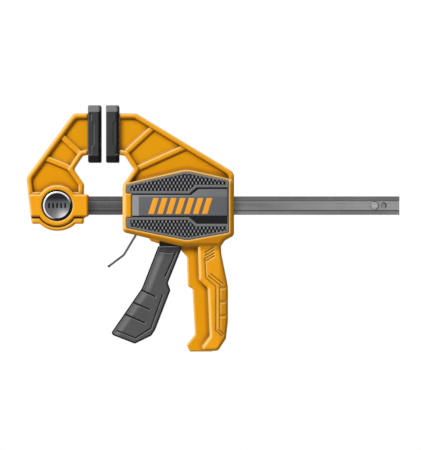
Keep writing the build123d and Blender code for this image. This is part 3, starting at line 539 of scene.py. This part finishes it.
def make_trigger_charcoal():
    """Charcoal trigger with a coarse mould texture and a painted highlight along a ridge. Its outline
    and grooves are painted black as shade, and its top under the box gets a painted shadow."""
    ridge_highlight_grey = (0.205, 0.205, 0.210)
    under_box_shadow_black = (0.016, 0.016, 0.017)
    outline_shade_black = (0.008, 0.008, 0.008)

    def ridge_highlight(tree, base):
        """Two straight bands of painted highlight that meet at the bend, and the painted shadow on the top.
        """
        _, x, _, z = object_point(tree)
        ridge = None
        for (nx, nz), low, high in ridge_lines:
            along_x = maths(tree, "MULTIPLY", maths(tree, "SUBTRACT", x, ridge_bend[0]), nx)
            along_z = maths(tree, "MULTIPLY", maths(tree, "SUBTRACT", z, ridge_bend[1]), nz)
            across = maths(tree, "ADD", along_x, along_z)
            band = line_mask(tree, across, 0.0, 0.6 * MM, 3.6 * MM)
            part = ramp(tree, z, ridge_bend[1] + low, ridge_bend[1] + high)
            band = maths(tree, "MULTIPLY", band, part)
            ridge = band if ridge is None else maths(tree, "MAXIMUM", ridge, band)
        # painted highlight along the ridge
        base = lay(tree, base, ridge, 0.7, ridge_highlight_grey)
        # painted shadow on the trigger's top under the box
        under_box_shadow = ramp(tree, z, box_underside - 13 * MM, box_underside - 1 * MM)
        return lay(tree, base, under_box_shadow, 0.90, under_box_shadow_black)

    def outline(tree, base):
        """Painted shade: black wherever the surface isn't the flat of the side face."""
        inside = ramp(tree, side_depth(tree), trigger_half - 0.40 * MM, trigger_half - 0.06 * MM)
        flat = maths(tree, "MULTIPLY", inside, faces_sideways(tree, 0.93, 0.995))
        return blend(tree, flat, outline_shade_black, base)

    return moulded_plastic("trigger_charcoal", (0.082, 0.082, 0.084), (0.34, 0.34, 0.345),
                           (0.006, 0.006, 0.006), rough=0.50, grain=0.05, grain_scale=900.0, wear=0.75,
                           wear_radius=0.7, edge_round=1.3, edge_highlight=(0.30, 0.30, 0.305), tone=0.8,
                           reach=2.5 * MM, specular=0.0, coat=0.3, tint=ridge_highlight, rim=outline)


def make_pad_rubber():
    """Pad rubber: a lighter top band as painted highlight, a darker lower band as painted shade and a black
    strip of painted shadow along the edge at +X.
    """
    top_highlight_grey = (0.165, 0.165, 0.167)
    low_shade_black = (0.012, 0.012, 0.012)
    strip_shadow_black = (0.001, 0.001, 0.001)

    def bands(tree, base):
        """The two sloped bands by height, and the strip by place along X, as painted highlight, shade and
        shadow.
        """
        _, x, _, z = object_point(tree)
        # painted highlight on the upper band, painted shade on the lower band
        base = blend(tree, ramp(tree, z, pad_band - 0.2 * MM, pad_band + 0.2 * MM), base, top_highlight_grey)
        base = blend(tree, ramp(tree, z, 0.2 * MM - pad_band, -0.2 * MM - pad_band), base, low_shade_black)
        # painted shadow along each pad's edge at +X
        for edge in (fixed_pad_high.x, moving_pad_high.x):
            strip = line_mask(tree, x, edge - pad_strip / 2, pad_strip / 2 - 0.2 * MM, 0.5 * MM)
            base = blend(tree, strip, base, strip_shadow_black)
        return base

    return moulded_plastic("pad_rubber", (0.047, 0.047, 0.048), (0.26, 0.26, 0.26), (0.005, 0.005, 0.005),
                           rough=0.66, grain=0.06, grain_scale=1300.0, wear=0.5, wear_radius=0.7,
                           edge_round=1.2, edge_highlight=(0.24, 0.24, 0.24), tone=0.6, reach=2.0 * MM,
                           specular=0.06, tint=bands)


def make_bar_steel():
    """Phosphated bar: darker towards the fixed jaw, brighter towards its free end, with drawn streaks, dark
    lines of painted shade in the corners of its two channels with a painted highlight line below the upper
    one, and painted shade round the rivet and the lock hole."""
    ring_shade_black = (0.022, 0.022, 0.023)
    free_end_grey = (0.140, 0.140, 0.142)
    bright_web = (0.33, 0.33, 0.335)
    patch_grey = (0.34, 0.34, 0.345)
    streak_black = (0.085, 0.085, 0.086)
    low_corner_shade = (0.030, 0.030, 0.031)
    high_corner_shade = (0.060, 0.060, 0.062)
    highlight_line = (0.36, 0.36, 0.365)
    flange_grey = (0.080, 0.080, 0.082)

    def ring(tree, base, x, level, place, radius):
        """Painted shade along the upper and back half of a circle round a place on the bar."""
        across = maths(tree, "SUBTRACT", x, place)
        away = distance(tree, across, level)
        turned = maths(tree, "ADD", across, maths(tree, "MULTIPLY", level, 0.5))
        side = ramp(tree, turned, -0.8 * MM, 1.6 * MM)
        share = maths(tree, "MULTIPLY", line_mask(tree, away, radius, 0.3 * MM, 0.4 * MM), side)
        return lay(tree, base, share, 0.9, ring_shade_black)

    def lines(tree, base):
        """Tones along the bar, then streaks, then the painted shade and highlight lines at set heights."""
        _, x, _, z = object_point(tree)
        level = maths(tree, "SUBTRACT", z, bar_z)
        base = blend(tree, ramp(tree, x, bar_bright_start, bar_bright_end), base, free_end_grey)
        web = fall(tree, maths(tree, "ABSOLUTE", level), bar_groove - 0.5 * MM, bar_groove)
        drawn = use(tree, drawn_group, line_scale=0.6)
        bright = maths(tree, "MULTIPLY", ramp(tree, x, bar_bright_end, bar_brightest), web)
        base = lay(tree, base, bright, 0.66, bright_web)
        patch = maths(tree, "MULTIPLY", drawn["Tone"], ramp(tree, x, bar_bright_start, bar_bright_end))
        base = lay(tree, base, patch, 0.22, patch_grey)
        streak = ramp(tree, drawn["Height"], 0.30, 0.70)
        base = lay(tree, base, streak, 0.25, streak_black)
        # painted shade in the channels' corners, and a painted highlight line below the upper one
        low = line_mask(tree, level, -bar_groove - 0.1 * MM, 0.25 * MM, 0.45 * MM)
        base = lay(tree, base, low, 0.9, low_corner_shade)
        high = line_mask(tree, level, bar_groove, 0.15 * MM, 0.35 * MM)
        base = lay(tree, base, high, 0.6, high_corner_shade)
        rubbed = line_mask(tree, level, bar_groove - 1.1 * MM, 0.15 * MM, 0.5 * MM)
        base = lay(tree, base, rubbed, 0.35, highlight_line)
        flange = ramp(tree, level, bar_groove, bar_groove + 0.6 * MM)
        base = lay(tree, base, flange, 0.30, flange_grey)
        # painted shade round the rivet and the lock hole
        base = ring(tree, base, x, level, rivet_x, rivet_ring)
        return ring(tree, base, x, level, hole_x, hole_ring)

    return steel("bar_steel", (0.050, 0.050, 0.051), (0.098, 0.098, 0.100), rough=0.40, wear=0.25,
                 tint=lines)


def make_button_chrome():
    """Satin chrome button with painted reflections: a rim that goes from bright to dark round it, and a
    dished face, dark above and lighter below, with turned rings and five grip bars."""
    face_middle, face_top_reflection = (0.10, 0.103, 0.112), (0.022, 0.022, 0.025)
    face_foot_reflection = (0.118, 0.118, 0.122)
    rim_bright_reflection, rim_dark_reflection = (0.74, 0.74, 0.75), (0.012, 0.012, 0.013)
    outer_edge = (0.10, 0.10, 0.105)
    bar_black = (0.010, 0.010, 0.011)
    material, tree, shader = start_material("button_chrome", Metallic=1.0)
    radius, across, up = button_radius(tree)
    rim = ramp(tree, radius, *dish_edge)
    wave = maths(tree, "SINE", maths(tree, "MULTIPLY", radius, 2 * math.pi / turned_pitch))
    bar_place = maths(tree, "PINGPONG", maths(tree, "ADD", across, grip_bar_spacing), grip_bar_spacing)
    bars = ramp(tree, bar_place, *grip_bar_side)
    bars = maths(tree, "MULTIPLY", bars, fall(tree, maths(tree, "ABSOLUTE", up), *grip_bar_end))
    bars = maths(tree, "MULTIPLY", bars, fall(tree, maths(tree, "ABSOLUTE", across), *grip_bar_row))
    # painted reflection on the dished face: dark above, lighter below
    face = blend(tree, ramp(tree, up, 2.0 * MM, 8.0 * MM), face_middle, face_top_reflection)
    face = blend(tree, ramp(tree, up, 0.0, -10.0 * MM), face, face_foot_reflection)
    # painted reflection on the rim: bright towards the upper left, dark towards the lower right
    lean = maths(tree, "DIVIDE", maths(tree, "SUBTRACT", across, up), radius)
    rim_reflection = blend(tree, ramp(tree, lean, 0.0, 1.0), rim_bright_reflection, rim_dark_reflection)
    base = blend(tree, rim, face, rim_reflection)
    base = blend(tree, bars, base, bar_black)
    base = blend(tree, ramp(tree, radius, *rim_edge), base, outer_edge)
    tree.links.new(base, shader.inputs["Base Color"])
    tree.links.new(maths(tree, "MULTIPLY_ADD", rim, -0.08, 0.34), shader.inputs["Roughness"])
    rings = maths(tree, "MULTIPLY", wave, maths(tree, "SUBTRACT", 1.0, rim))
    bump(tree, shader, maths(tree, "SUBTRACT", maths(tree, "MULTIPLY", rings, 0.04), bars), 0.12 * MM)
    return material


finishes = {
    "body_plastic": make_amber(),
    "cover_plastic": make_cover_grey(),
    "badge_plastic": make_badge_grey(),
    "trigger_plastic": make_trigger_charcoal(),
    "pad_rubber": make_pad_rubber(),
    "bar_steel": make_bar_steel(),
    "plain_steel": steel("zinc_steel", (0.30, 0.30, 0.31), (0.46, 0.46, 0.47), rough=0.34, line_scale=0.5),
    "button_chrome": make_button_chrome(),
    "spring_steel": steel("spring_wire", (0.22, 0.22, 0.23), (0.36, 0.36, 0.37), rough=0.30, line_scale=0.4),
}
band_grey = moulded_plastic("band_grey", (0.112, 0.115, 0.123), (0.25, 0.25, 0.26), (0.04, 0.04, 0.042),
                            rough=0.44, grain=0.010, wear=0.3, reach=1.0 * MM)
stripe_orange = moulded_plastic("stripe_orange", (0.90, 0.36, 0.018), (1.0, 0.5, 0.08), (0.5, 0.16, 0.005),
                                rough=0.38, grain=0.006, wear=0.2, reach=0.6 * MM)
lever_steel = steel("lever_steel", (0.060, 0.060, 0.063), (0.115, 0.115, 0.120), rough=0.36, line_scale=0.5)
grille_grey = make_grille_grey()


def give(piece, material):
    """Puts one material in every slot of a piece, on the object."""
    if not piece.material_slots:
        piece.data.materials.append(None)
    for slot in piece.material_slots:
        slot.link = "OBJECT"
        slot.material = material


for entry in frame["record"]["subparts"]:
    give(nodes[entry["node"]], finishes[entry["material_slot"]])
give(nodes["brake_lever"], lever_steel)


# ------------------------------------------------------------------ mesh helpers
def add_object(name, data):
    """A new object of the scene, at the origin, that shows a mesh, light or camera."""
    made = bpy.data.objects.new(name, data)
    bpy.context.scene.collection.objects.link(made)
    return made


def smooth_but_creases(mesh, angle):
    """Smooth shading, with the edges whose faces turn by more than the angle kept sharp."""
    mesh.polygons.foreach_set("use_smooth", np.ones(len(mesh.polygons), bool))
    mesh.set_sharp_from_angle(angle=math.radians(angle))


def new_piece(name, points, faces, material, sharp_angle=crease_angle):
    """A piece on the head from numpy points and from faces that already look outwards."""
    mesh = bpy.data.meshes.new(name)
    mesh.from_pydata(points.tolist(), [], faces)
    mesh.validate()
    smooth_but_creases(mesh, sharp_angle)
    piece = add_object(name, mesh)
    give(piece, material)
    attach(piece, "head")
    return piece


def coil_spring(node, body):
    """A spring's coil as one merged piece on its body, in place of the imported one."""
    work = bmesh.new()
    work.from_mesh(nodes[node].data)
    bmesh.ops.remove_doubles(work, verts=work.verts, dist=weld)
    mesh = bpy.data.meshes.new(node + "_coil")
    work.to_mesh(mesh)
    work.free()
    smooth_but_creases(mesh, crease_angle)
    piece = add_object(node + "_coil", mesh)
    give(piece, finishes["spring_steel"])
    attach(piece, body)
    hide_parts(node)
    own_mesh(piece)


def rounded_path(corners, radius, steps=6):
    """Points and outward normals round a convex outline, anticlockwise. Each corner is an arc about a
    centre that lies radius inside both of its edges: p = centre + radius * (cos t, sin t)."""
    corners = np.array(corners, float)
    back = np.roll(corners, 1, 0) - corners
    ahead = np.roll(corners, -1, 0) - corners
    back /= np.linalg.norm(back, axis=1)[:, None]
    ahead /= np.linalg.norm(ahead, axis=1)[:, None]
    half = np.arccos(np.clip((back * ahead).sum(1), -1, 1)) / 2
    middle = back + ahead
    middle /= np.linalg.norm(middle, axis=1)[:, None]
    centres = corners + middle * (radius / np.sin(half))[:, None]
    outward = np.arctan2(-middle[:, 1], -middle[:, 0])
    sweep = (math.pi / 2 - half)[:, None] * np.linspace(-1, 1, steps)[None]
    angle = outward[:, None] + sweep
    normals = np.stack([np.cos(angle), np.sin(angle)], -1)
    points = centres[:, None] + radius * normals
    return points.reshape(-1, 2), normals.reshape(-1, 2)


def raised_plate(name, corners, radius, face, lift, rim, side, material):
    """A thin plate on a side face: a profile carried round its outline. The profile climbs the wall and
    turns over the rim by a quarter circle: inset = rim (1 - cos t), height = lift - rim + rim sin t."""
    path, normals = rounded_path(corners, radius)
    turn = np.linspace(0, math.pi / 2, 5)
    inset = np.concatenate([[0], rim * (1 - np.cos(turn))])
    height = np.concatenate([[-plate_seat], lift - rim + rim * np.sin(turn)])
    flat = path[None] - normals[None] * inset[:, None, None]
    depth = np.broadcast_to(side * (face + height)[:, None], flat.shape[:2])
    points = np.stack([flat[..., 0], depth, flat[..., 1]], -1)
    rows, columns = flat.shape[:2]
    index = np.arange(rows * columns).reshape(rows, columns)
    following = np.roll(index, -1, 1)
    quads = np.stack([index[:-1], following[:-1], following[1:], index[1:]], -1).reshape(-1, 4)
    faces = quads.tolist() + [index[-1].tolist(), index[0, ::-1].tolist()]
    if side > 0:
        faces = [loop[::-1] for loop in faces]
    new_piece(name, points.reshape(-1, 3), faces, material)


def height_sheet(name, columns, low, high, face, side, relief, material):
    """A closed relief sheet on a side face. Its point (u, v) is x = columns[u] and
    z = low(x) + v (high(x) - low(x)), raised by relief(x, z); a flat back closes it."""
    v = np.linspace(0, 1, grille_rows)[:, None]
    x = np.broadcast_to(columns[None], (grille_rows, len(columns)))
    z = low(columns)[None] + v * (high(columns) - low(columns))[None]
    crest = relief(x, z)
    crest[[0, -1]] *= grille_rim
    crest[:, [0, -1]] *= grille_rim
    front = np.stack([x, side * (face + crest * grille_height), z], -1).reshape(-1, 3)
    index = np.arange(grille_rows * len(columns)).reshape(grille_rows, -1)
    quads = np.stack([index[:-1, :-1], index[:-1, 1:], index[1:, 1:], index[1:, :-1]], -1).reshape(-1, 4)
    rim = np.concatenate([index[0, :-1], index[:-1, -1], index[-1, :0:-1], index[:0:-1, 0]])
    foot = front[rim].copy()
    foot[:, 1] = side * (face - plate_seat)
    lower = np.arange(len(rim)) + len(front)
    wall = np.stack([rim, lower, np.roll(lower, -1), np.roll(rim, -1)], -1)
    faces = quads.tolist() + wall.tolist() + [lower[::-1].tolist()]
    if side > 0:
        faces = [loop[::-1] for loop in faces]
    piece = new_piece(name, np.concatenate([front, foot]), faces, material, grille_crease_angle)
    values = np.concatenate([crest.ravel(), np.zeros(len(rim))]).astype(np.float32)
    piece.data.attributes.new("crest", "FLOAT", "POINT").data.foreach_set("value", values)


# ------------------------------------------------------------------ grilles of the covers
def egg_crate(x, z):
    """Staggered oval pits and crests: smoothstep of (wave + 0.6) / 1.25, where wave is
    cos(2 pi x / pitch) cos(pi z / pitch)."""
    along = np.cos(2 * math.pi * (x - peak_x) / grille_pitch_x)
    upwards = np.cos(math.pi * (z - bar_z) / grille_pitch_z)
    share = np.clip((along * upwards + 0.6) / 1.25, 0, 1)
    return share * share * (3 - 2 * share)


def grille_edges(outer, inner_low, inner_high):
    """The panel's outer edge and inner edge as distances from the bar's centreline. The outer edge rises
    to the peak and falls; the inner edge steps outwards behind step_start. Both are moved in by the
    border."""
    slope = (inner_high - inner_low) / step_run
    lean = grille_border * math.hypot(1, slope)

    def outer_edge(x):
        return np.interp(x, [cover_left, peak_x, cover_right], outer) - grille_border * outer_slope

    def inner_edge(x):
        stepped = inner_low + slope * (x - step_start) + lean
        return np.clip(stepped, inner_low + grille_border, inner_high + grille_border)

    return outer_edge, inner_edge


def make_grilles():
    """Grille sheets in the two sunk panels of both covers."""
    first, last = cover_left + grille_lead, cover_right - grille_border
    columns = np.linspace(first, last, round((last - first) / grille_step))
    floor = cover_face - grille_sink
    upper_outer, upper_inner = grille_edges(*upper_panel)
    lower_outer, lower_inner = grille_edges(*lower_panel)
    for label, side in (("front", -1), ("rear", 1)):
        height_sheet(f"{label}_upper_grille", columns, lambda x: bar_z + upper_inner(x),
                     lambda x: bar_z + upper_outer(x), floor, side, egg_crate, grille_grey)
        height_sheet(f"{label}_lower_grille", columns, lambda x: bar_z - lower_outer(x),
                     lambda x: bar_z - lower_inner(x), floor, side, egg_crate, grille_grey)


# ------------------------------------------------------------------ badge band and its plain stripes
def make_badge(label, side):
    """Dark band on the badge plate, with a row of slanted stripes."""
    left, right = badge_low.x + band_left, badge_high.x - band_margin
    top, bottom = bar_z + band_top, badge_low.z + band_margin
    band = [(left, bottom), (right, bottom), (right, top), (left, top)]
    raised_plate(f"{label}_badge_band", band, band_corner, badge_face, band_lift, band_rim, side,
                 band_grey)
    middle = (top + bottom) / 2
    for number in range(stripe_count):
        x = badge_low.x + first_stripe + number * stripe_pitch
        low, high = middle - stripe_half_height, middle + stripe_half_height
        stripe = [(x - stripe_slant / 2, low), (x - stripe_slant / 2 + stripe_width, low),
                  (x + stripe_slant / 2 + stripe_width, high), (x + stripe_slant / 2, high)]
        raised_plate(f"{label}_stripe_{number + 1}", stripe, stripe_corner, badge_face + band_lift,
                     stripe_lift, stripe_rim, side, stripe_orange)


coil_spring("drive_spring", "head")
coil_spring("brake_spring", "head")
coil_spring("button_spring", "fixed_end")
make_grilles()
make_badge("front", -1)
make_badge("rear", 1)

# ------------------------------------------------------------------ floor, light and camera
view_x, view_z = 109.35 * MM, -90.9 * MM  # what the camera looks at, square on
view_height = 449 * MM  # what it takes in at the clamp's front plane
front_plane = -13 * MM
lens, sensor = 300.0, 36.0
floor_drop = 0.16  # below the clamp's lowest point
floor_radius = 0.9
floor_sides = 96
floor_fade = (0.55, 0.98)  # shares of the radius over which the floor turns clear
floor_white = 0.93
ambient_strength = 0.26


def make_floor():
    """Pale round floor below the clamp that fades out towards its edge."""
    turn = np.linspace(0, 2 * math.pi, floor_sides, endpoint=False)
    points = np.stack([view_x + floor_radius * np.cos(turn), floor_radius * np.sin(turn),
                       np.full_like(turn, low_z - floor_drop)], -1)
    mesh = bpy.data.meshes.new("floor")
    mesh.from_pydata(points.tolist(), [], [list(range(len(turn)))])
    floor = add_object("floor", mesh)
    material, tree, shader = start_material("floor_pale", Roughness=0.9, Specular_IOR_Level=0.0)
    shader.inputs["Base Color"].default_value = (floor_white, floor_white, floor_white, 1.0)
    _, x, y, _ = object_point(tree)
    away = distance(tree, maths(tree, "SUBTRACT", x, view_x), y)
    fade = fall(tree, away, *(floor_radius * share for share in floor_fade))
    tree.links.new(fade, shader.inputs["Alpha"])
    mesh.materials.append(material)


def make_world():
    """White where the camera, gloss and glass look past the object, and plain soft light for the rest."""
    world = bpy.data.worlds.new("studio")
    bpy.context.scene.world = world
    world.use_nodes = True
    tree = world.node_tree
    tree.nodes.clear()
    path = add(tree, "LightPath").outputs
    seen = maths(tree, "MAXIMUM", path["Is Camera Ray"], path["Is Glossy Ray"])
    seen = maths(tree, "MAXIMUM", seen, path["Is Transmission Ray"])
    ambient = add(tree, "Background", {"Color": (1.0, 1.0, 1.0, 1.0), "Strength": ambient_strength})
    white = add(tree, "Background", {"Color": (1.0, 1.0, 1.0, 1.0), "Strength": 1.0})
    mixed = add(tree, "MixShader", {0: seen, 1: ambient.outputs[0], 2: white.outputs[0]})
    output = tree.nodes.new("ShaderNodeOutputWorld")
    tree.links.new(mixed.outputs[0], output.inputs[0])


def area_light(name, place, size, watts):
    """A square soft light that points at the middle of the clamp."""
    data = bpy.data.lights.new(name, "AREA")
    data.size = size
    data.energy = watts
    light = add_object(name, data)
    light.location = place
    aim = np.array([view_x, 0.0, view_z]) - np.array(place)
    tilt = math.acos(-aim[2] / np.linalg.norm(aim))
    light.rotation_euler = (tilt, 0.0, math.atan2(aim[0], -aim[1]) + math.pi)


make_floor()
make_world()
area_light("key", (view_x - 0.75, -1.42, view_z + 0.90), size=0.70, watts=25.3)
area_light("back_fill", (view_x + 0.6, 1.3, view_z + 0.8), size=0.9, watts=19.0)

camera_data = bpy.data.cameras.new("camera")
camera_data.lens = lens
camera_data.sensor_width = sensor
camera_data.clip_end = 50.0
camera = add_object("camera", camera_data)
camera.location = (view_x, front_plane - view_height * lens / sensor, view_z)
camera.rotation_euler = (math.pi / 2, 0.0, 0.0)
bpy.context.scene.camera = camera
bpy.context.scene.view_settings.view_transform = "Standard"

bpy.context.view_layer.update()
